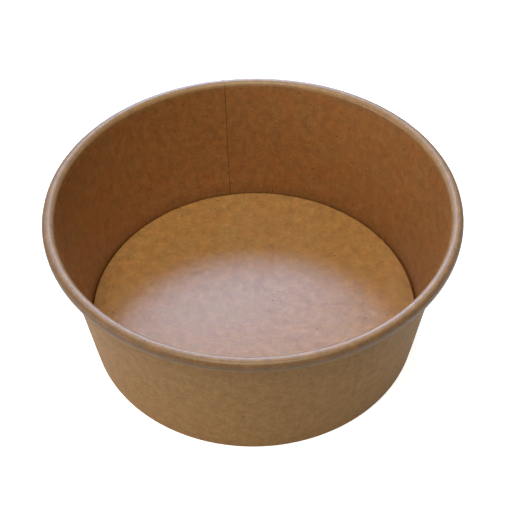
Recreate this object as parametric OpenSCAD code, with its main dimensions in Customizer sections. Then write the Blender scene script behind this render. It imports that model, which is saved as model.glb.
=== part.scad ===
// Kraft salad bowl, made of two pieces of coated paperboard.
// The side wall is one fan-shaped blank. It is wrapped into a tapered tube whose ends lap at a
// side seam, its top edge is rolled outwards into the rim, and its bottom edge is folded in and up
// as a hem. The bottom disc has a skirt turned down all round, which the hem traps against the wall.
// The disc stands above the table by the height of the skirt, so the bowl rests on the fold alone.
// Origin: centre of the ring on which the bowl stands. +Z is up. Sizes are in millimetres.

/* [Bowl] */
// Outside diameter of the rolled rim
rim_d = 150; // [140:1:200]
// Outside diameter of the wall where it meets the table
foot_d = 128; // [90:1:136]
// Height from the table to the top of the rim
bowl_h = 61.5; // [35:0.5:120]
// Height of the floor's upper face above the table
floor_h = 7.2; // [5:0.1:20]

/* [Paperboard] */
// Thickness of the side wall's board
wall_t = 0.45; // [0.25:0.05:0.7]
// Thickness of the bottom disc's board
base_t = 0.4; // [0.25:0.05:0.7]
// Melted coating that is left in each sealed joint between two boards
seal_t = 0.02; // [0.01:0.01:0.08]

/* [Rolled rim] */
// Outer radius of the bend that leads from the wall into the roll
shoulder_r = 2.1; // [1.8:0.1:4]
// Outer radius of the roll, on the side away from the bowl
roll_r = 2.2; // [1.8:0.1:3.5]
// Gap between the tucked-in end of the roll and the board round it
tuck_gap = 0.05; // [0.02:0.01:0.3]
// Angle by which the tucked end turns past the lowest point of the roll
tuck_turn = 135; // [60:5:150]

/* [Side seam] */
// Direction of the seam, measured from +X towards +Y
seam_angle = 98.9; // [0:0.1:360]
// Width over which the ends of the blank lap, measured at the rim
lap_w = 8; // [4:0.5:15]
// Width over which the outer layer comes down to the wall past the inner edge
ramp_w = 3.5; // [2.5:0.5:6]
// Distance from the roll's lowest point down to the outer layer's top end
lap_below_roll = 0.2; // [0.1:0.1:2]
// Width of the crevice that the inner edge leaves on the food side and over the rim
crevice_w = 0.3; // [0.1:0.05:0.6]
// Depth of that crevice
crevice_depth = 0.2; // [0.05:0.05:0.2]

/* [Foot] */
// Outer radius of the two corners of the fold that the bowl stands on
fold_r = 0.5; // [0.2:0.05:0.6]
// Outer radius of the bend between the floor and its skirt
floor_edge_r = 0.9; // [0.8:0.05:2]
// Distance from the hem's cut edge up to the underside of the floor
hem_below_floor = 0.9; // [0.3:0.1:3]
// Distance from the skirt's cut edge down to the inside of the fold
skirt_above_fold = 0.1; // [0.02:0.02:1]

/* [Hidden] */
$fn = 180;

KRAFT = "#8f6a43";
KRAFT_FLOOR = "#a1805a";

// Angle between two points on an arc
ARC_STEP = 7.5;
// Distance by which a cutter reaches past the surface that it cuts
REACH = 0.1;

// Depths are measured from the wall's outer surface towards the bowl's axis
skirt_depth = wall_t + seal_t;
pocket_depth = skirt_depth + base_t + seal_t;
hem_depth = pocket_depth + wall_t;
corner_r = min(fold_r, 0.4 * hem_depth);

tuck_r = min(roll_r, shoulder_r) - wall_t - tuck_gap;
shoulder_c = [rim_d / 2 - roll_r, bowl_h - shoulder_r];
roll_c = [rim_d / 2 - roll_r, bowl_h - roll_r];
tuck_c = [rim_d / 2 - roll_r, bowl_h - 2 * roll_r + tuck_r];

// The wall's outer surface runs from the foot and is tangent to the shoulder's concave side
reach_to_shoulder = shoulder_c - [foot_d / 2, 0];
lean = atan2(reach_to_shoulder.x, reach_to_shoulder.y)
    - asin((shoulder_r - wall_t) / norm(reach_to_shoulder));
lap_top = bowl_h - 2 * roll_r - lap_below_roll;

hem_top = floor_h - base_t - hem_below_floor;
skirt_bottom = wall_t + skirt_above_fold;

lap_angle = lap_w / (rim_d / 2) * 180 / PI;
ramp_angle = ramp_w / (rim_d / 2) * 180 / PI;
crevice_angle = crevice_w / (rim_d / 2) * 180 / PI;

// Radius of a surface of the leaning wall at height z
function wall_r(z, depth) = foot_d / 2 + z * tan(lean) - depth / cos(lean);

function on_wall(z, depth) = [wall_r(z, depth), z];

// Points along an arc about c, both ends included
function arc(c, r, from, to) =
    let (steps = ceil(abs(to - from) / ARC_STEP))
    [for (i = [0:steps]) c + r * [cos(from + (to - from) * i / steps), sin(from + (to - from) * i / steps)]];

// The rim in section, on the surface that lies inset below the food side: over the shoulder,
// down the outside of the roll, and on into the tucked end
function shoulder(inset) = arc(shoulder_c, shoulder_r - inset, 180 - lean, 90);
function roll(inset) = arc(roll_c, roll_r - inset, 90, -90);
function tuck(inset) = arc(tuck_c, tuck_r - inset, -90, -90 - tuck_turn);
function rim(inset) = concat(shoulder(inset), roll(inset), tuck(inset));

function reversed(points) = [for (i = [len(points) - 1:-1:0]) points[i]];

// The blank in section, from the cut edge of the hem to the cut edge inside the roll and back
function blank_section() = concat(
    [on_wall(hem_top, hem_depth)],
    arc(on_wall(corner_r, hem_depth - corner_r), corner_r, -180 - lean, -90),
    arc(on_wall(corner_r, corner_r), corner_r, -90, -lean),
    rim(wall_t),
    reversed(rim(0)),
    [on_wall(wall_t, wall_t), on_wall(wall_t, pocket_depth), on_wall(hem_top, pocket_depth)]
);

// The second layer of board at the seam, from the fold up to where the roll hides it
function lap_section() = [
    on_wall(corner_r, -wall_t),
    on_wall(lap_top, -wall_t),
    on_wall(lap_top, wall_t / 2),
    on_wall(corner_r, wall_t / 2)
];

// A thin band that follows the food side from the floor up and over the roll
function crevice_section() = concat(
    [on_wall(floor_h - floor_edge_r, wall_t + REACH)],
    shoulder(-REACH),
    roll(-REACH),
    reversed(roll(crevice_depth)),
    reversed(shoulder(crevice_depth)),
    [on_wall(floor_h - floor_edge_r, wall_t - crevice_depth)]
);

module ring_sector(from, angle) {
    rotate([0, 0, from])
        rotate_extrude(angle = angle)
            children();
}

// Takes away what stands outside a plane that dips from the lap's outer face into the wall
module ramp_cutter() {
    foot_r = wall_r(0, REACH / 2);
    rise = (foot_r + wall_t + REACH / 2) * cos(ramp_angle) - foot_r;
    run = foot_r * sin(ramp_angle);
    block = 4 * ramp_w;
    rotate([0, 0, seam_angle + ramp_angle])
        translate([foot_r, 0, 0])
            rotate([0, lean, 0])
                rotate([0, 0, atan2(rise, run)])
                    translate([0, -block / 2, -block])
                        cube([block, block, bowl_h + 2 * block]);
}

module lap() {
    difference() {
        ring_sector(seam_angle - lap_angle, lap_angle + ramp_angle)
            polygon(lap_section());
        ramp_cutter();
    }
}

module crevice() {
    ring_sector(seam_angle, crevice_angle)
        polygon(crevice_section());
}

module side_wall() {
    color(KRAFT)
        difference() {
            union() {
                rotate_extrude()
                    polygon(blank_section());
                lap();
            }
            crevice();
        }
}

module bottom_disc() {
    edge_c = on_wall(floor_h - floor_edge_r, skirt_depth + floor_edge_r);
    color(KRAFT_FLOOR)
        rotate_extrude()
            polygon(concat(
                [[0, floor_h]],
                arc(edge_c, floor_edge_r, 90, -lean),
                [on_wall(skirt_bottom, skirt_depth), on_wall(skirt_bottom, skirt_depth + base_t)],
                arc(edge_c, floor_edge_r - base_t, -lean, 90),
                [[0, floor_h - base_t]]
            ));
}

side_wall();
bottom_disc();
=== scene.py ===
"""Looks of a kraft salad bowl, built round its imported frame.

The bowl is two blanks of coated kraft board: a side wall with a rolled rim, a lapped seam and a
folded hem, and a bottom disc whose skirt the hem holds. Everything is in metres, +Z up, with the
origin at the centre of the ring on which the bowl stands.
"""

import logging
import math
from dataclasses import dataclass
from enum import IntEnum
from typing import Any

import bmesh
import bpy
import numpy as np
from mathutils import Matrix, Vector

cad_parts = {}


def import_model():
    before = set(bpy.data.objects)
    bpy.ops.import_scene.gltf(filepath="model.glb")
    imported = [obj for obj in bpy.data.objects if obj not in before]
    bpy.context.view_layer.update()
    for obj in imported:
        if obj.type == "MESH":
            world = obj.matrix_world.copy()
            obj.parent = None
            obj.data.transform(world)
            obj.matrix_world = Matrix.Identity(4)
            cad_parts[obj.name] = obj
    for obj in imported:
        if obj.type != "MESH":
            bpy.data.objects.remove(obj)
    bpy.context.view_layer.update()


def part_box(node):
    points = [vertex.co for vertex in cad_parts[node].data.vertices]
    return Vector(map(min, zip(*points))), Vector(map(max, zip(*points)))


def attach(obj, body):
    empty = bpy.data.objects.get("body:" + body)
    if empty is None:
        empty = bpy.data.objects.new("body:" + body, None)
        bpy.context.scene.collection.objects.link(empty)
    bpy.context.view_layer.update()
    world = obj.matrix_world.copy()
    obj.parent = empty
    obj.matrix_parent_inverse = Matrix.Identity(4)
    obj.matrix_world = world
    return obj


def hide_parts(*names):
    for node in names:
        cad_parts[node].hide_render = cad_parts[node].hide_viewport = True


log = logging.getLogger("kraft_bowl")

MM = 0.001

# Points of a section or a mesh that lie nearer than this are one point
SAME_POINT = 1e-9
SAME_VERTEX = 0.001 * MM

# The map that gives each point its place on the flat blank, in millimetres
BLANK_MAP = "blank"

# Marks from 0 to 1: the rolled rim, painted shade on the roll's outer side, and painted shade at the
# foot of the wall
ROLLED = "rolled"
PAINTED_ROLL_SHADE = "painted_roll_shade"
PAINTED_FOOT_SHADE = "painted_foot_shade"

# Nearly all values of a noise lie in the first range, and most of them in the second
WIDE_RANGE = (0.25, 0.75)
INNER_RANGE = (0.3, 0.7)


class Side(IntEnum):
    """The sides of a sheet of board, in the order of a piece's material slots."""

    FOOD = 0
    OUTER = 1
    CUT = 2
    # A joint's finish is darkened with painted shade
    JOINT = 3


def hex_colour(code: str) -> tuple[float, float, float, float]:
    """Turns an sRGB hex colour to linear.

    Args:
        code: Six hex digits after a #.

    Returns:
        Linear red, green and blue, and an alpha of 1.
    """
    values = [int(code[i:i + 2], 16) / 255 for i in (1, 3, 5)]
    linear = [v / 12.92 if v <= 0.04045 else ((v + 0.055) / 1.055) ** 2.4 for v in values]
    return (*linear, 1.0)


def add_node(
    tree: bpy.types.NodeTree,
    kind: str,
    settings: dict[str, Any] | None = None,
    inputs: dict[str | int, Any] | None = None,
) -> bpy.types.Node:
    """Adds a shader node with its settings, values and links.

    Args:
        tree: The node tree that takes the node.
        kind: The node's type, without the word ShaderNode.
        settings: Values for the node's own properties.
        inputs: For each input socket, by name or index, a value or the output socket that feeds it.

    Returns:
        The new node.
    """
    node = tree.nodes.new("ShaderNode" + kind)
    for name, value in (settings or {}).items():
        setattr(node, name, value)
    for socket, value in (inputs or {}).items():
        if isinstance(value, bpy.types.NodeSocket):
            tree.links.new(value, node.inputs[socket])
        else:
            node.inputs[socket].default_value = value
    return node


def arc(
    centre: np.ndarray,
    radius: float,
    start_deg: float,
    end_deg: float,
    step_deg: float,
    squareness: float = 2.0,
) -> np.ndarray:
    """Points along an arc in the section plane.

    Args:
        centre: The arc's centre, as radius and height.
        radius: The arc's radius.
        start_deg: Angle of the first point.
        end_deg: Angle of the last point.
        step_deg: Largest angle between two points.
        squareness: Exponent of the curve. It is 2 for a circle, and more for a curve that is squashed
            flat at its top and sides.

    Returns:
        One row of radius and height for each point, both ends included.
    """
    count = math.ceil(abs(end_deg - start_deg) / step_deg) + 1
    turn = np.radians(np.linspace(start_deg, end_deg, count))
    way = np.stack([np.cos(turn), np.sin(turn)], axis=1)
    size = (np.abs(way) ** squareness).sum(axis=1) ** (1 / squareness)
    return centre + radius * way / size[:, None]


def line(start: np.ndarray, end: np.ndarray, step: float) -> np.ndarray:
    """Points along a straight stretch of the section.

    Args:
        start: First point, as radius and height.
        end: Last point.
        step: Largest distance between two points.

    Returns:
        One row of radius and height for each point, both ends included.
    """
    count = math.ceil(np.linalg.norm(end - start) / step) + 1
    share = np.linspace(0, 1, count)[:, None]
    return start * (1 - share) + end * share


def smooth_step(value: np.ndarray) -> np.ndarray:
    """Runs from 0 to 1 as value does, with flat ends."""
    held = np.clip(value, 0, 1)
    return held * held * (3 - 2 * held)


@dataclass
class Ring:
    """One round of a piece's surface, and the side of the board that follows it."""

    radius: float
    height: float
    side: Side
    along: float


def rings_of(runs: list[tuple[Side, np.ndarray]]) -> list[Ring]:
    """Joins stretches of a section into rings.

    Args:
        runs: For each stretch, its side of the board and its points.

    Returns:
        The rings in order. Where one stretch ends at the next one's start, they share a ring.
    """
    rings: list[Ring] = []
    along = 0.0
    for side, points in runs:
        for radius, height in points:
            if rings:
                gap = math.hypot(radius - rings[-1].radius, height - rings[-1].height)
                if gap < SAME_POINT:
                    rings[-1].side = side
                    continue
                along += gap
            rings.append(Ring(radius, height, side, along))
    return rings


def closed_mesh(
    name: str,
    points: np.ndarray,
    sides: np.ndarray,
    blank: np.ndarray,
    marks: dict[str, np.ndarray],
    sharp_deg: float = 50,
) -> bpy.types.Object:
    """Makes a closed mesh from rings of points.

    Args:
        name: The piece's name.
        points: Coordinates by ring, column and axis. The last ring joins the first, and the last
            column joins the first.
        sides: By ring and column, the side of the board on the face that starts there.
        blank: Place on the flat blank in millimetres, by ring and column, with one column more
            than points has, because the blank ends where its mesh closes.
        marks: Named values from 0 to 1 by ring, which the finishes read.
        sharp_deg: Angle above which an edge is sharp.

    Returns:
        The new object, linked to the scene.
    """
    rings, columns = points.shape[:2]
    ring, column = np.meshgrid(np.arange(rings), np.arange(columns), indexing="ij")
    ring, column = ring.ravel(), column.ravel()
    after, beside = (ring + 1) % rings, (column + 1) % columns
    corners = [(ring, column), (ring, beside), (after, beside), (after, column)]
    faces = np.stack([r * columns + c for r, c in corners], axis=1)
    mesh = bpy.data.meshes.new(name)
    mesh.from_pydata(points.reshape(-1, 3).tolist(), [], faces.tolist())
    flat = [(ring, column), (ring, column + 1), (after, column + 1), (after, column)]
    places = np.stack([blank[r, c] for r, c in flat], axis=1)
    mesh.uv_layers.new(name=BLANK_MAP).uv.foreach_set("vector", places.astype(np.float32).ravel())
    mesh.polygons.foreach_set("material_index", sides.astype(np.int32).ravel())
    for mark, values in marks.items():
        layer = mesh.attributes.new(mark, "FLOAT", "POINT")
        layer.data.foreach_set("value", np.repeat(values, columns).astype(np.float32))
    form = bmesh.new()
    form.from_mesh(mesh)
    bmesh.ops.remove_doubles(form, verts=form.verts, dist=SAME_VERTEX)
    bmesh.ops.recalc_face_normals(form, faces=form.faces)
    form.to_mesh(mesh)
    form.free()
    mesh.shade_smooth()
    mesh.set_sharp_from_angle(angle=math.radians(sharp_deg))
    piece = bpy.data.objects.new(name, mesh)
    bpy.context.scene.collection.objects.link(piece)
    return piece


@dataclass(frozen=True)
class BowlForm:
    """Sizes that the bowl's two blanks share."""

    rim_r: float
    height: float
    floor_h: float
    foot_r: float = 64 * MM
    wall_t: float = 0.45 * MM
    base_t: float = 0.4 * MM
    seal_t: float = 0.02 * MM
    shoulder_r: float = 2.1 * MM
    roll_r: float = 2.2 * MM

    @classmethod
    def from_frame(cls) -> "BowlForm":
        """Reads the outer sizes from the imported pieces.

        Returns:
            The bowl's sizes.
        """
        low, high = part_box("side_wall")
        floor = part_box("bottom_disc")[1].z
        return cls(rim_r=high.x, height=high.z - low.z, floor_h=floor)

    @property
    def shoulder_centre(self) -> np.ndarray:
        """Centre of the bend that leads from the wall into the roll."""
        return np.array([self.rim_r - self.roll_r, self.height - self.shoulder_r])

    @property
    def lean(self) -> float:
        """Finds the wall's lean, at which it is tangent to the shoulder.

        Returns:
            Angle in radians from upright, outwards.
        """
        reach = self.shoulder_centre - np.array([self.foot_r, 0])
        inner_r = self.shoulder_r - self.wall_t
        return math.atan2(*reach) - math.asin(inner_r / np.linalg.norm(reach))

    def on_wall(self, height: float, depth: float) -> np.ndarray:
        """Finds a point of the leaning wall.

        Args:
            height: Height above the table.
            depth: Distance from the wall's outer face towards the bowl's axis.

        Returns:
            Radius and height.
        """
        radius = self.foot_r + height * math.tan(self.lean) - depth / math.cos(self.lean)
        return np.array([radius, height])


@dataclass
class Blank:
    """A die-cut blank of board, bent into its place in the bowl."""

    form: BowlForm

    def seat(self, piece: bpy.types.Object, node: str, slot: str) -> None:
        """Puts a piece in the place of its CAD node.

        Args:
            piece: The piece.
            node: The CAD node that it stands for.
            slot: The name of a material slot in the record; it is not used.
        """
        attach(piece, "root")
        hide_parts(node)

    def dress(self, piece: bpy.types.Object, finishes: list[bpy.types.Material]) -> None:
        """Gives each side of the board its finish, in the order of Side."""
        for finish in finishes:
            piece.data.materials.append(finish)


@dataclass
class SideWall(Blank):
    """The wrapped blank: wall, lapped seam, rolled rim and hem."""

    # The roll's tucked-in end, and how flat the roll is squashed
    tuck_gap: float = 0.05 * MM
    tuck_turn_deg: float = 135
    roll_squareness: float = 2.8

    # The fold at the foot, whose corners take this share of its width at most, and the hem
    fold_r: float = 0.5 * MM
    fold_share: float = 0.4
    hem_below_floor: float = 0.9 * MM

    # The side seam, with its lap on the outside and its crevice on the food side
    seam_deg: float = 98.9
    lap_w: float = 8 * MM
    ramp_w: float = 3.5 * MM
    lap_below_roll: float = 0.2 * MM
    crevice_w: float = 0.18 * MM
    crevice_depth: float = 0.2 * MM

    # The cut edge in the crevice wanders a little, and the board stands proud beside it
    seam_drift: float = 0.12 * MM
    drift_length: float = 9 * MM
    proud_edge: float = 0.08 * MM
    proud_fade: float = 3 * MM

    # A real bowl isn't quite true: its wall bows inwards, and its rim waves and is out of round.
    # A ripple is given by how often it goes round the rim, and by its start in radians.
    bow: float = 0.3 * MM
    rim_wave: float = 0.05 * MM
    ripples: tuple[tuple[int, float], ...] = ((3, 0.4), (5, 2.1), (9, 4.0), (14, 1.3))
    out_of_round: float = 0.5 * MM
    more_on_right: float = 0.2

    # Where the rolled mark and the painted shade on the roll's outer side and at the wall's foot
    # begin, and how soon they are full
    roll_fade: float = 1.6 * MM
    roll_lead: float = 0.3
    roll_shade_rise: float = 1.6
    roll_shade_lag: float = 0.1
    foot_shade_fade: float = 7 * MM

    # The mesh: its columns, the room they leave beside the seam's edges, and its steps
    column_w: float = 1.1 * MM
    fine_column_w: float = 0.3 * MM
    edge_room: float = 0.4
    edge_jump: float = 0.01 * MM
    step: float = 2.4 * MM
    shown_turn_deg: float = 4.5
    hidden_turn_deg: float = 9
    fold_turn_deg: float = 18

    def rim(self, inset: float, step_deg: float) -> np.ndarray:
        """Follows the shoulder, the roll and the tucked end.

        Args:
            inset: Depth below the food side.
            step_deg: Largest angle between two points of the shoulder and the roll.

        Returns:
            One row of radius and height for each point.
        """
        f = self.form
        tuck_r = min(f.roll_r, f.shoulder_r) - f.wall_t - self.tuck_gap
        roll_c = np.array([f.rim_r - f.roll_r, f.height - f.roll_r])
        tuck_c = np.array([f.rim_r - f.roll_r, f.height - 2 * f.roll_r + tuck_r])
        wall_end = 180 - math.degrees(f.lean)
        tuck_end = -90 - self.tuck_turn_deg
        return np.concatenate([
            arc(f.shoulder_centre, f.shoulder_r - inset, wall_end, 90, step_deg),
            arc(roll_c, f.roll_r - inset, 90, -90, step_deg, self.roll_squareness),
            arc(tuck_c, tuck_r - inset, -90, tuck_end, 3 * step_deg),
        ])

    def section(self) -> list[Ring]:
        """Follows the blank from the hem's cut edge round the fold, up to the roll and back.

        Returns:
            The rings in order.
        """
        f = self.form
        pocket_depth = f.wall_t + f.seal_t + f.base_t + f.seal_t
        hem_depth = pocket_depth + f.wall_t
        hem_top = f.floor_h - f.base_t - self.hem_below_floor
        corner_r = min(self.fold_r, self.fold_share * hem_depth)
        lean = math.degrees(f.lean)
        turn = self.fold_turn_deg
        hidden = self.rim(f.wall_t, self.hidden_turn_deg)
        shown = self.rim(0, self.shown_turn_deg)
        fold_in = arc(f.on_wall(corner_r, hem_depth - corner_r), corner_r, -180 - lean, -90, turn)
        fold_out = arc(f.on_wall(corner_r, corner_r), corner_r, -90, -lean, turn)
        hem_edge = f.on_wall(hem_top, hem_depth)
        pocket_edge = f.on_wall(hem_top, pocket_depth)
        fold_inside = f.on_wall(f.wall_t, f.wall_t)
        pocket_floor = f.on_wall(f.wall_t, pocket_depth)
        return rings_of([
            (Side.OUTER, line(hem_edge, fold_in[0], self.step)),
            (Side.OUTER, fold_in),
            (Side.OUTER, fold_out),
            (Side.OUTER, line(fold_out[-1], hidden[0], self.step)),
            (Side.OUTER, hidden),
            (Side.CUT, hidden[-1:]),
            (Side.FOOD, shown[::-1]),
            (Side.FOOD, line(shown[0], fold_inside, self.step)),
            (Side.FOOD, pocket_floor[None]),
            (Side.CUT, pocket_edge[None]),
        ])

    def columns(self) -> np.ndarray:
        """Spaces the mesh's columns, close together at the seam.

        Returns:
            Angles from the seam in radians, from the smallest up.
        """
        r = self.form.rim_r
        left_end = 3 * self.ramp_w
        right_end = -self.lap_w - 2 * self.ramp_w
        around = 2 * math.pi * r
        fine = np.arange(right_end, left_end, self.fine_column_w)
        plain = np.linspace(left_end, around + right_end, round(around / self.column_w))
        edges = np.array([0.0, self.crevice_w, -self.lap_w])
        steps = np.concatenate([edges - self.edge_jump, edges + self.edge_jump])
        room = np.abs(fine[:, None] - edges).min(axis=1)
        clear = room > self.edge_room * self.fine_column_w
        return np.sort(np.concatenate([fine[clear], steps, plain[:-1]])) / r

    def beside_seam(self, turn: np.ndarray) -> np.ndarray:
        """How far each column lies from the seam along the rim, below 0 on the lap's side."""
        return np.where(turn > math.pi, turn - 2 * math.pi, turn) * self.form.rim_r

    def wave(self, turn: np.ndarray) -> np.ndarray:
        """Makes the slow wave of the rim, from -1 to 0, out of its ripples."""
        total = sum(np.sin(n * turn + start) / n for n, start in self.ripples)
        return (total / np.abs(total).max() - 1) / 2

    def push(self, turn: np.ndarray) -> np.ndarray:
        """Pushes the rim out of round at the back left and the back right.

        Args:
            turn: Angles of the columns from the seam, in radians.

        Returns:
            Distance outwards for each column.
        """
        bearing = turn + math.radians(self.seam_deg)
        share = np.where(np.sin(bearing) > 0, np.abs(np.sin(2 * bearing)), 0)
        return self.out_of_round * share * (1 + self.more_on_right * np.cos(bearing))

    def displaced(self, rings: list[Ring], turn: np.ndarray) -> np.ndarray:
        """Places each ring's points, with the seam, the wall's bow and the rim's waves.

        Args:
            rings: The section.
            turn: Angles of the columns from the seam, in radians.

        Returns:
            Coordinates by ring, column and axis.
        """
        f = self.form
        beside = self.beside_seam(turn)
        lap = np.where(beside < 0, beside > -self.lap_w, smooth_step(1 - beside / self.ramp_w))
        crevice = (beside > 0) & (beside < self.crevice_w)
        proud = np.where(beside < 0, np.exp(beside / self.proud_fade), 0)
        near_seam = np.exp(-(beside / (2 * self.ramp_w)) ** 2)
        wave = self.wave(turn)
        outwards = np.roll(wave, len(wave) // 3) * self.rim_wave + self.push(turn)
        lap_top = f.height - 2 * f.roll_r - self.lap_below_roll
        points = np.empty((len(rings), len(turn), 3))
        for i, ring in enumerate(rings):
            radius = np.full_like(turn, ring.radius)
            height = np.full_like(turn, ring.height)
            on_outside = ring.side == Side.OUTER and ring.radius > f.on_wall(ring.height, f.wall_t)[0]
            if on_outside and self.fold_r < ring.height < lap_top:
                radius += lap * f.wall_t
            if ring.side == Side.FOOD and ring.height > f.floor_h - f.wall_t:
                radius += crevice * self.crevice_depth - proud * self.proud_edge
            share = (ring.height / f.height) ** 2
            height += wave * self.rim_wave * share
            radius += outwards * share
            up = (ring.height - f.floor_h) / (f.shoulder_centre[1] - f.floor_h)
            radius -= self.bow * math.sin(math.pi * min(max(up, 0), 1))
            drift = self.seam_drift * math.sin(ring.along / self.drift_length) * near_seam / f.rim_r
            angle = math.radians(self.seam_deg) + turn + drift
            points[i] = np.stack([radius * np.cos(angle), radius * np.sin(angle), height], axis=1)
        return points

    def blank_places(self, rings: list[Ring], turn: np.ndarray) -> np.ndarray:
        """Finds each point's place on the flat blank.

        Args:
            rings: The section.
            turn: Angles of the columns from the seam, in radians.

        Returns:
            How far round and how far along the blank, in millimetres, by ring and column.
        """
        turn = np.append(turn, turn[0] + 2 * math.pi)
        along = np.array([ring.along for ring in rings])
        around, along = np.meshgrid(turn * self.form.rim_r, along)
        return np.stack([around, along], axis=2) / MM

    def sides(self, rings: list[Ring], turn: np.ndarray) -> np.ndarray:
        """Names the side of the board on each face. The crevice counts as a joint, whose finish is
        darkened with painted shade.

        Args:
            rings: The section.
            turn: Angles of the columns from the seam, in radians.

        Returns:
            The side, by ring and column.
        """
        beside = turn * self.form.rim_r
        crevice = (beside > -2 * self.edge_jump) & (beside < self.crevice_w)
        side = np.array([ring.side for ring in rings])
        above = np.array([ring.height > self.form.floor_h - self.form.wall_t for ring in rings])
        in_crevice = (side == Side.FOOD)[:, None] & above[:, None] & crevice
        return np.where(in_crevice, Side.JOINT, side[:, None])

    def marks(self, rings: list[Ring]) -> dict[str, np.ndarray]:
        """Marks the rolled rim, and the painted shade on the roll's outer side and on the strip of
        wall next to the floor.

        Args:
            rings: The section.

        Returns:
            For each mark, its value by ring.
        """
        f = self.form
        food = np.array([ring.side == Side.FOOD for ring in rings])
        radius = np.array([ring.radius for ring in rings])
        height = np.array([ring.height for ring in rings])
        bent = smooth_step((height - f.shoulder_centre[1]) / self.roll_fade + self.roll_lead)
        rolled = np.where(radius > f.shoulder_centre[0], 1, bent)
        out = (radius - f.shoulder_centre[0]) / f.roll_r
        # Painted shade on the roll's outer side, growing towards its outer edge and underside
        painted_roll_shade = smooth_step(out * self.roll_shade_rise - self.roll_shade_lag)
        # Painted shade on the wall just above the floor, fading out upwards
        painted_foot_shade = smooth_step(1 - (height - f.floor_h) / self.foot_shade_fade)
        return {ROLLED: food * rolled, PAINTED_ROLL_SHADE: food * painted_roll_shade, PAINTED_FOOT_SHADE: food * painted_foot_shade}

    def build(self) -> bpy.types.Object:
        """Makes the piece and puts it in the CAD node's place.

        Returns:
            The piece, without its materials.
        """
        rings = self.section()
        turn = self.columns()
        piece = closed_mesh(
            "wall_blank",
            self.displaced(rings, turn),
            self.sides(rings, turn),
            self.blank_places(rings, turn),
            self.marks(rings),
        )
        self.seat(piece, "side_wall", "wall_board")
        return piece


@dataclass
class BottomDisc(Blank):
    """The round disc and its skirt, which the hem traps."""

    # The bend at the disc's edge, which draws back from the wall in a crease, and the skirt
    edge_r: float = 0.9 * MM
    crease: float = 0.15 * MM
    crease_deg: float = 45
    skirt_above_fold: float = 0.1 * MM

    # The floor's slight sag, which wanders over these lengths across and deep
    sag: float = 0.12 * MM
    sag_margin: float = 2 * MM
    sag_length: tuple[float, float] = (17 * MM, 23 * MM)
    sag_start: tuple[float, float] = (0.6, -0.9)

    # The mesh
    columns: int = 360
    step: float = 2.0 * MM
    shown_turn_deg: float = 7.5
    hidden_turn_deg: float = 12

    def section(self) -> list[Ring]:
        """Follows the disc from its middle over the edge, down the skirt and back underneath.

        Returns:
            The rings in order.
        """
        f = self.form
        depth = f.wall_t + f.seal_t
        lean = math.degrees(f.lean)
        under_c = f.on_wall(f.floor_h - self.edge_r, depth + self.edge_r)
        upper_c = under_c - np.array([self.crease, 0])
        upper = arc(upper_c, self.edge_r, 90, self.crease_deg, self.shown_turn_deg)
        crease = arc(upper_c, self.edge_r, self.crease_deg, -lean, self.shown_turn_deg)
        under = arc(under_c, self.edge_r - f.base_t, -lean, 90, self.hidden_turn_deg)
        middle = np.array([0, f.floor_h])
        middle_under = np.array([0, f.floor_h - f.base_t])
        skirt_bottom = f.wall_t + self.skirt_above_fold
        skirt = f.on_wall(skirt_bottom, depth)
        skirt_inside = f.on_wall(skirt_bottom, depth + f.base_t)
        return rings_of([
            (Side.FOOD, line(middle, upper[0], self.step)),
            (Side.FOOD, upper),
            # The crease and the skirt take the joint's finish, darkened with painted shade
            (Side.JOINT, crease),
            (Side.JOINT, line(crease[-1], skirt, self.step)),
            (Side.CUT, skirt[None]),
            (Side.OUTER, line(skirt_inside, under[0], self.step)),
            (Side.OUTER, under),
            (Side.OUTER, line(under[-1], middle_under, self.step)),
        ])

    def points(self, rings: list[Ring], turn: np.ndarray) -> np.ndarray:
        """Places each ring's points, with a slight sag in the floor.

        Args:
            rings: The section.
            turn: Angles of the columns, in radians.

        Returns:
            Coordinates by ring, column and axis.
        """
        radius = np.array([ring.radius for ring in rings])[:, None]
        height = np.array([ring.height for ring in rings])[:, None]
        x, y = radius * np.cos(turn), radius * np.sin(turn)
        share = np.clip(1 - (radius / (self.form.foot_r - self.sag_margin)) ** 2, 0, 1) ** 2
        across = np.sin(x / self.sag_length[0] + self.sag_start[0])
        deep = np.cos(y / self.sag_length[1] + self.sag_start[1])
        return np.stack([x, y, height + self.sag * share * (across * deep - 1)], axis=2)

    def blank_places(self, rings: list[Ring], turn: np.ndarray) -> np.ndarray:
        """Finds each point's place on the flat blank, which is the same on both of its faces.

        Args:
            rings: The section.
            turn: Angles of the columns, in radians.

        Returns:
            Place in millimetres, by ring and column.
        """
        around_edge = rings[-1].along
        along = np.array([min(ring.along, around_edge - ring.along) for ring in rings])[:, None]
        turn = np.append(turn, 2 * math.pi)
        return np.stack([along * np.cos(turn), along * np.sin(turn)], axis=2) / MM

    def build(self) -> bpy.types.Object:
        """Makes the piece and puts it in the CAD node's place.

        Returns:
            The piece, without its materials.
        """
        rings = self.section()
        turn = np.linspace(0, 2 * math.pi, self.columns, endpoint=False)
        sides = np.repeat([ring.side for ring in rings], self.columns)
        places = self.blank_places(rings, turn)
        piece = closed_mesh("floor_blank", self.points(rings, turn), sides, places, {})
        self.seat(piece, "bottom_disc", "floor_board")
        return piece


@dataclass(frozen=True)
class FibreSet:
    """Bundles of pale or dark fibres that lie one way on the board."""

    turn_deg: float
    shift: float
    strength: float
    pale: bool


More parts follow.
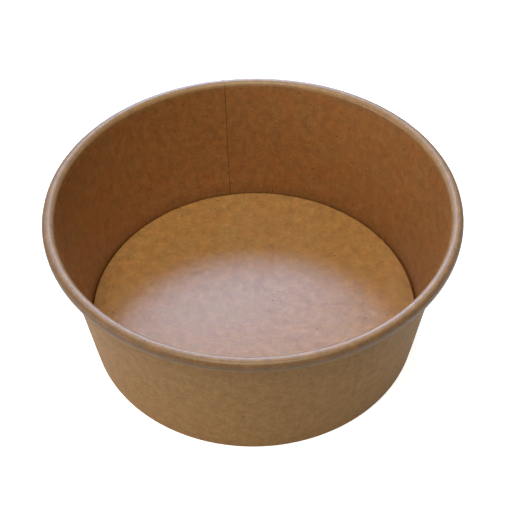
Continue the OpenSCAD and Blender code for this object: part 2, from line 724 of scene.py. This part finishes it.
@dataclass(frozen=True)
class KraftBoard:
    """Kraft paperboard: compacted brown wood fibres, with paler and darker ones among them.

    The eye sees a soft cloudy brown that drifts between red and olive, faint streaks along the
    board's grain, scattered short fibres and a few dark specks of bark. Its scales are in
    millimetres. A real fibre is 0.03 mm wide, which is too fine to show, so fibres are drawn as
    small bundles.
    """

    name: str
    colour: str
    second_colour: str
    pale_fibre: str
    dark_fibre: str
    bark: str
    roughness: float
    ior: float
    gloss: float = 0.5
    contrast: float = 0.3

    # What rolling and bark do to the board's colour, the colours of the painted shade on the roll's
    # outer side and at the wall's foot, and how far each goes
    rolled: str = "#98734c"
    rolled_share: float = 0.8
    rolled_roughness: float = 0.42
    # Colour and share of the painted shade on the roll's outer side
    painted_roll_shade: str = "#6e471f"
    painted_roll_shade_share: float = 0.9
    # Colour and share of the painted shade at the wall's foot
    painted_foot_shade: str = "#4a2a10"
    painted_foot_shade_share: float = 0.3
    bark_share: float = 0.8

    # Clouds come from how the pulp settles, over a centimetre, with finer ones in them
    cloud_mm: float = 11.0
    cloud_detail: float = 5.0
    cloud_fineness: float = 0.8

    # Mottling comes from flocks of fibres, a few millimetres across and less
    mottle_mm: float = 4.5
    mottle_detail: float = 4.0
    mottle_fineness: float = 0.9
    roughness_wander: float = 0.03

    # Streaks run along the grain, and bundles are short
    streak_contrast: float = 0.03
    streak_mm: tuple[float, float] = (0.9, 16.0)
    bundle_mm: tuple[float, float] = (2.4, 0.4)
    bundle_range: tuple[float, float] = (0.6, 0.76)
    fibre_sets: tuple[FibreSet, ...] = (
        FibreSet(12, 3.1, 0.2, pale=True),
        FibreSet(74, 8.7, 0.18, pale=True),
        FibreSet(-38, 5.2, 0.3, pale=False),
        FibreSet(129, 1.4, 0.26, pale=False),
    )

    # Specks of bark are up to half a millimetre across. Their soft edges reach wider, to show
    speck_spacing_mm: float = 5.0
    speck_r_mm: float = 0.588
    speck_core: float = 0.3
    speck_warp_mm: float = 0.625
    speck_warp: float = 0.9
    empty_cells: float = 0.5
    empty_size: float = 0.001

    # The surface rises and falls with the flocks
    relief_size_mm: float = 3.0
    relief_mm: float = 0.05

    def stretched(
        self,
        tree: bpy.types.NodeTree,
        place: bpy.types.NodeSocket,
        size_mm: tuple[float, float],
        turn_deg: float = 0,
        shift: float = 0,
    ) -> bpy.types.NodeSocket:
        """Makes a noise whose patches are longer one way.

        Args:
            tree: The material's node tree.
            place: Position on the blank.
            size_mm: A patch's size along the blank's two directions, before the turn.
            turn_deg: Turn of the patches.
            shift: Offset that keeps two sets apart.

        Returns:
            The noise.
        """
        mapped = add_node(tree, "Mapping", {}, {
            "Vector": place,
            "Location": (shift, shift, 0),
            "Rotation": (0, 0, math.radians(turn_deg)),
            "Scale": (1 / size_mm[0], 1 / size_mm[1], 1),
        })
        noise = add_node(tree, "TexNoise", {"noise_dimensions": "2D"}, {
            "Vector": mapped.outputs[0], "Scale": 1.0, "Detail": 1.0, "Roughness": 0.6,
        })
        return noise.outputs[0]

    def specks(
        self, tree: bpy.types.NodeTree, place: bpy.types.NodeSocket
    ) -> bpy.types.NodeSocket:
        """Scatters specks of bark of many sizes, with none at all in some places.

        Args:
            tree: The material's node tree.
            place: Position on the blank.

        Returns:
            A mask that is 1 in a speck.
        """
        warp = add_node(tree, "TexNoise", {"noise_dimensions": "2D"}, {
            "Vector": place, "Scale": 1 / self.speck_warp_mm,
        })
        bent = add_node(tree, "VectorMath", {"operation": "MULTIPLY_ADD"}, {
            0: warp.outputs["Color"], 1: (self.speck_warp, self.speck_warp, 0), 2: place,
        })
        cells = add_node(tree, "TexVoronoi", {"voronoi_dimensions": "2D"}, {
            "Vector": bent.outputs[0], "Scale": 1 / self.speck_spacing_mm, "Randomness": 1.0,
        })
        size = add_node(tree, "MapRange", {}, {
            "Value": cells.outputs["Color"], "From Min": self.empty_cells, "From Max": 1.0,
            "To Min": self.empty_size, "To Max": self.speck_r_mm / self.speck_spacing_mm,
        })
        share = add_node(tree, "Math", {"operation": "DIVIDE"}, {
            0: cells.outputs["Distance"], 1: size.outputs[0],
        })
        mask = add_node(tree, "MapRange", {"interpolation_type": "SMOOTHSTEP"}, {
            "Value": share.outputs[0], "From Min": self.speck_core, "From Max": 1.0,
            "To Min": 1.0, "To Max": 0.0,
        })
        return mask.outputs[0]

    def tinted(
        self,
        tree: bpy.types.NodeTree,
        colour: bpy.types.NodeSocket,
        tint: str,
        mask: bpy.types.NodeSocket,
        strength: float,
    ) -> bpy.types.NodeSocket:
        """Mixes a tint into a colour where the mask is 1.

        Args:
            tree: The material's node tree.
            colour: The colour so far.
            tint: Hex colour of the tint.
            mask: Where the tint goes.
            strength: Share of the tint at a mask of 1.

        Returns:
            The mixed colour.
        """
        share = add_node(tree, "Math", {"operation": "MULTIPLY"}, {0: mask, 1: strength})
        mixed = add_node(tree, "Mix", {"data_type": "RGBA"}, {
            "Factor": share.outputs[0], 6: colour, 7: hex_colour(tint),
        })
        return mixed.outputs[2]

    def tone(
        self, tree: bpy.types.NodeTree, place: bpy.types.NodeSocket
    ) -> bpy.types.NodeSocket:
        """Makes the cloudy brown, changed where the blank was rolled, and darkened with painted shade
        on the roll's outer side and at the wall's foot.

        Args:
            tree: The material's node tree.
            place: Position on the blank.

        Returns:
            The colour.
        """
        cloud = add_node(tree, "TexNoise", {"noise_dimensions": "2D"}, {
            "Vector": place, "Scale": 1 / self.cloud_mm, "Detail": self.cloud_detail,
            "Roughness": self.cloud_fineness,
        })
        hue = add_node(tree, "MapRange", {}, {
            "Value": cloud.outputs[0], "From Min": WIDE_RANGE[0], "From Max": WIDE_RANGE[1],
        })
        tone = add_node(tree, "Mix", {"data_type": "RGBA"}, {
            "Factor": hue.outputs[0], 6: hex_colour(self.colour), 7: hex_colour(self.second_colour),
        }).outputs[2]
        for mark, tint, share in (
            (ROLLED, self.rolled, self.rolled_share),
            # Painted shade on the roll's outer side
            (PAINTED_ROLL_SHADE, self.painted_roll_shade, self.painted_roll_shade_share),
            # Painted shade at the wall's foot
            (PAINTED_FOOT_SHADE, self.painted_foot_shade, self.painted_foot_shade_share),
        ):
            where = add_node(tree, "Attribute", {"attribute_name": mark})
            tone = self.tinted(tree, tone, tint, where.outputs["Fac"], share)
        return tone

    def mottled(
        self,
        tree: bpy.types.NodeTree,
        place: bpy.types.NodeSocket,
        tone: bpy.types.NodeSocket,
        mottle: bpy.types.NodeSocket,
    ) -> bpy.types.NodeSocket:
        """Lightens and darkens a colour with the mottling and the streaks.

        Args:
            tree: The material's node tree.
            place: Position on the blank.
            tone: The colour so far.
            mottle: The mottling's noise.

        Returns:
            The colour.
        """
        streaks = self.stretched(tree, place, self.streak_mm)
        colour = tone
        for noise, contrast in ((mottle, self.contrast), (streaks, self.streak_contrast)):
            factor = add_node(tree, "MapRange", {}, {
                "Value": noise, "From Min": WIDE_RANGE[0], "From Max": WIDE_RANGE[1],
                "To Min": 1 - contrast, "To Max": 1 + contrast,
            })
            colour = add_node(tree, "VectorMath", {"operation": "SCALE"}, {
                0: colour, "Scale": factor.outputs[0],
            }).outputs[0]
        return colour

    def fibrous(
        self,
        tree: bpy.types.NodeTree,
        place: bpy.types.NodeSocket,
        colour: bpy.types.NodeSocket,
    ) -> bpy.types.NodeSocket:
        """Lays the fibres and the specks of bark over a colour.

        Args:
            tree: The material's node tree.
            place: Position on the blank.
            colour: The colour so far.

        Returns:
            The colour.
        """
        for fibres in self.fibre_sets:
            bundles = self.stretched(tree, place, self.bundle_mm, fibres.turn_deg, fibres.shift)
            mask = add_node(tree, "MapRange", {"interpolation_type": "SMOOTHSTEP"}, {
                "Value": bundles,
                "From Min": self.bundle_range[0],
                "From Max": self.bundle_range[1],
            })
            tint = self.pale_fibre if fibres.pale else self.dark_fibre
            colour = self.tinted(tree, colour, tint, mask.outputs[0], fibres.strength)
        return self.tinted(tree, colour, self.bark, self.specks(tree, place), self.bark_share)

    def haze(
        self, tree: bpy.types.NodeTree, mottle: bpy.types.NodeSocket
    ) -> bpy.types.NodeSocket:
        """Makes the roughness: lower where the board is pale, and hazy on the roll.

        Args:
            tree: The material's node tree.
            mottle: The mottling's noise.

        Returns:
            The roughness.
        """
        flat = add_node(tree, "MapRange", {}, {
            "Value": mottle, "From Min": INNER_RANGE[0], "From Max": INNER_RANGE[1],
            "To Min": self.roughness + self.roughness_wander,
            "To Max": self.roughness - self.roughness_wander,
        })
        rolled = add_node(tree, "Attribute", {"attribute_name": ROLLED})
        rough = add_node(tree, "Mix", {"data_type": "FLOAT"}, {
            "Factor": rolled.outputs["Fac"], "A": flat.outputs[0], "B": self.rolled_roughness,
        })
        return rough.outputs[0]

    def material(self) -> bpy.types.Material:
        """Makes the material.

        Returns:
            The material, which reads the blank's map and its marks.
        """
        made = bpy.data.materials.new(self.name)
        made.use_nodes = True
        tree = made.node_tree
        tree.nodes.clear()
        place = add_node(tree, "UVMap", {"uv_map": BLANK_MAP}).outputs[0]
        mottle = add_node(tree, "TexNoise", {"noise_dimensions": "2D"}, {
            "Vector": place, "Scale": 1 / self.mottle_mm, "Detail": self.mottle_detail,
            "Roughness": self.mottle_fineness,
        }).outputs[0]
        colour = self.mottled(tree, place, self.tone(tree, place), mottle)
        relief = add_node(tree, "TexNoise", {"noise_dimensions": "2D"}, {
            "Vector": place, "Scale": 1 / self.relief_size_mm, "Detail": 2.0, "Roughness": 0.6,
        })
        bump = add_node(tree, "Bump", {}, {
            "Height": relief.outputs[0], "Strength": 1.0, "Distance": self.relief_mm * MM,
        })
        shader = add_node(tree, "BsdfPrincipled", {}, {
            "Base Color": self.fibrous(tree, place, colour),
            "Roughness": self.haze(tree, mottle),
            "IOR": self.ior,
            "Specular IOR Level": self.gloss,
            "Normal": bump.outputs[0],
        })
        add_node(tree, "OutputMaterial", {}, {"Surface": shader.outputs[0]})
        return made


# The food side carries a thin melted film of plastic: a warm brown with a satin gloss. Where the
# rim is rolled, the stretched film turns hazy, which reads as a greyer brown with a wider sheen.
COATED_WALL = KraftBoard(
    name="coated_kraft_wall_board",
    colour="#a96a3b",
    second_colour="#a17245",
    pale_fibre="#b98f62",
    dark_fibre="#784b26",
    bark="#38200f",
    roughness=0.26,
    ior=1.5,
)

# The floor's blank comes from another sheet, a little yellower, with the same film on it.
COATED_FLOOR = KraftBoard(
    name="coated_kraft_floor_board",
    colour="#ab7443",
    second_colour="#a47a49",
    pale_fibre="#c79a68",
    dark_fibre="#7d502a",
    bark="#3c220f",
    roughness=0.26,
    ior=1.5,
)

# The outer side is bare, calendered board: paler and greyer, with hardly any gloss.
BARE_KRAFT = KraftBoard(
    name="bare_kraft_board",
    colour="#a77849",
    second_colour="#a3794d",
    pale_fibre="#c29c6c",
    dark_fibre="#7e5a38",
    bark="#4a3018",
    roughness=0.65,
    ior=1.45,
    gloss=0.3,
    contrast=0.24,
)

# A die-cut edge shows the board's paler, fuzzy inside, with no gloss at all.
CUT_KRAFT = KraftBoard(
    name="cut_kraft_board",
    colour="#b8936a",
    second_colour="#b4906a",
    pale_fibre="#cdb08a",
    dark_fibre="#8d6a45",
    bark="#5a3d22",
    roughness=0.85,
    ior=1.4,
    gloss=0.2,
)

# Inside a sealed joint, hot air has browned the board, and the colour is darkened further as painted
# shade, so that the seam's crevice and the crease at the floor read as fine dark lines.
JOINT_KRAFT_PAINTED_SHADE = KraftBoard(
    name="kraft_joint_painted_shade",
    colour="#54331a",
    second_colour="#54361c",
    pale_fibre="#6a4625",
    dark_fibre="#38200f",
    bark="#241408",
    roughness=0.6,
    ior=1.45,
    gloss=0.2,
)


@dataclass(frozen=True)
class SoftBox:
    """A rectangular studio lamp behind a diffuser, which faces the bowl."""

    name: str
    azimuth_deg: float
    elevation_deg: float
    distance: float
    width: float
    height: float
    radiance: float
    colour: str = "#ffffff"

    def place(self, target: Vector) -> None:
        """Adds the lamp. Azimuth 0 is behind the viewer, and 90 is on the viewer's right.

        Args:
            target: Where the lamp points.
        """
        around = math.radians(self.azimuth_deg)
        up = math.radians(self.elevation_deg)
        level = math.cos(up)
        away = Vector((math.sin(around) * level, -math.cos(around) * level, math.sin(up)))
        data = bpy.data.lights.new(self.name, "AREA")
        data.shape = "RECTANGLE"
        data.size = self.width
        data.size_y = self.height
        # A lamp of one square metre takes pi watts for a radiance of 1
        data.energy = math.pi * self.width * self.height * self.radiance
        data.color = hex_colour(self.colour)[:3]
        lamp = bpy.data.objects.new(self.name, data)
        lamp.location = target + away * self.distance
        lamp.rotation_euler = away.to_track_quat("Z", "Y").to_euler()
        lamp.visible_camera = False
        bpy.context.scene.collection.objects.link(lamp)


@dataclass(frozen=True)
class Studio:
    """The floor, the lamps and the surroundings."""

    boxes: tuple[SoftBox, ...]
    floor_size: float = 3.0
    floor_colour: str = "#dedede"

    # What the camera sees of the floor's and the surround's own glow, and what gloss shows of it
    floor_glow: float = 0.78
    floor_glow_in_gloss: float = 0.35
    surround: float = 1.0
    surround_in_gloss: float = 0.8

    def seen_as(
        self, tree: bpy.types.NodeTree, bare: float, gloss: float
    ) -> bpy.types.NodeSocket:
        """Makes a strength that depends on how a surface is seen.

        Args:
            tree: The node tree that takes the nodes.
            bare: Strength where the camera looks at the surface.
            gloss: Strength where it is seen in gloss or through glass.

        Returns:
            The strength, which is 0 where the surface only lights others.
        """
        path = add_node(tree, "LightPath")
        indirect = add_node(tree, "Math", {"operation": "MAXIMUM"}, {
            0: path.outputs["Is Glossy Ray"], 1: path.outputs["Is Transmission Ray"],
        })
        direct = add_node(tree, "Math", {"operation": "MULTIPLY"}, {
            0: path.outputs["Is Camera Ray"], 1: bare,
        })
        both = add_node(tree, "Math", {"operation": "MULTIPLY_ADD"}, {
            0: indirect.outputs[0], 1: gloss, 2: direct.outputs[0],
        })
        return both.outputs[0]

    def floor(self) -> bpy.types.Object:
        """Lays the pale floor. It glows for the camera, so that it reads as white.

        Returns:
            The floor.
        """
        mesh = bpy.data.meshes.new("studio_floor")
        half = self.floor_size / 2
        corners = [(-half, -half, 0), (half, -half, 0), (half, half, 0), (-half, half, 0)]
        mesh.from_pydata(corners, [], [(0, 1, 2, 3)])
        floor = bpy.data.objects.new("studio_floor", mesh)
        bpy.context.scene.collection.objects.link(floor)
        made = bpy.data.materials.new("pale_paper_sweep")
        made.use_nodes = True
        tree = made.node_tree
        tree.nodes.clear()
        matt = add_node(tree, "BsdfDiffuse", {}, {"Color": hex_colour(self.floor_colour)})
        strength = self.seen_as(tree, self.floor_glow, self.floor_glow_in_gloss)
        glow = add_node(tree, "Emission", {}, {"Strength": strength})
        both = add_node(tree, "AddShader", {}, {0: matt.outputs[0], 1: glow.outputs[0]})
        add_node(tree, "OutputMaterial", {}, {"Surface": both.outputs[0]})
        mesh.materials.append(made)
        return floor

    def surroundings(self) -> None:
        """Sets a surround that reads as white, and lights nothing by itself."""
        world = bpy.data.worlds.new("studio_surround")
        bpy.context.scene.world = world
        world.use_nodes = True
        tree = world.node_tree
        tree.nodes.clear()
        strength = self.seen_as(tree, self.surround, self.surround_in_gloss)
        shade = add_node(tree, "Background", {}, {
            "Color": hex_colour("#ffffff"), "Strength": strength,
        })
        add_node(tree, "OutputWorld", {}, {"Surface": shade.outputs[0]})

    def build(self, target: Vector) -> None:
        """Sets everything up round the target.

        Args:
            target: Where the lamps point.
        """
        self.floor()
        self.surroundings()
        for box in self.boxes:
            box.place(target)


@dataclass(frozen=True)
class Viewpoint:
    """The camera, which stands where the bowl's outlines in the photograph put it."""

    lens_mm: float = 66.505
    sensor_mm: float = 36.0
    distance: float = 358.03 * MM
    down_deg: float = 45.616
    roll_deg: float = -0.751
    target: tuple[float, float, float] = (0.65 * MM, 0.0, 32.70 * MM)
    nearest: float = 0.01
    farthest: float = 20.0

    def build(self) -> bpy.types.Object:
        """Makes the camera the scene's own.

        Returns:
            The camera.
        """
        down = math.radians(self.down_deg)
        data = bpy.data.cameras.new("view")
        data.lens = self.lens_mm
        data.sensor_width = self.sensor_mm
        data.clip_start = self.nearest
        data.clip_end = self.farthest
        camera = bpy.data.objects.new("view", data)
        forward = Vector((0, math.cos(down), -math.sin(down)))
        tilt = Matrix.Rotation(math.pi / 2 - down, 4, "X")
        roll = Matrix.Rotation(math.radians(self.roll_deg), 4, "Z")
        stand = Matrix.Translation(Vector(self.target) - forward * self.distance)
        camera.matrix_world = stand @ tilt @ roll
        bpy.context.scene.collection.objects.link(camera)
        bpy.context.scene.camera = camera
        return camera


def report(piece: bpy.types.Object) -> None:
    """Logs a piece's name and how many faces it has."""
    log.info("%s: %d faces", piece.name, len(piece.data.polygons))


def main() -> None:
    """Builds the bowl, dresses it and sets up the studio."""
    logging.basicConfig(level=logging.INFO, format="%(message)s")
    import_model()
    bpy.context.scene.view_settings.view_transform = "Standard"
    Viewpoint().build()
    form = BowlForm.from_frame()
    shared = [finish.material() for finish in (BARE_KRAFT, CUT_KRAFT, JOINT_KRAFT_PAINTED_SHADE)]
    for blank, coated in ((SideWall(form), COATED_WALL), (BottomDisc(form), COATED_FLOOR)):
        piece = blank.build()
        blank.dress(piece, [coated.material()] + shared)
        report(piece)
    Studio(boxes=(
        SoftBox("back_window", 183, 25.5, 2.0, 0.76, 2.00, 9.9, "#b4d1ff"),
        SoftBox("far_left_window", 226, 34, 2.0, 0.90, 1.50, 1.6, "#b4d2ff"),
        SoftBox("overhead_softbox", 348, 74, 2.0, 1.32, 1.10, 7.2, "#fdffe3"),
        SoftBox("left_window", 291, 13, 2.0, 1.26, 0.80, 4.0, "#f8faff"),
        SoftBox("right_window", 112, 25, 2.0, 1.0, 1.5, 0.35, "#9cc0ff"),
    )).build(Vector((0, 0, form.height / 2)))


if __name__ == "__main__":
    main()
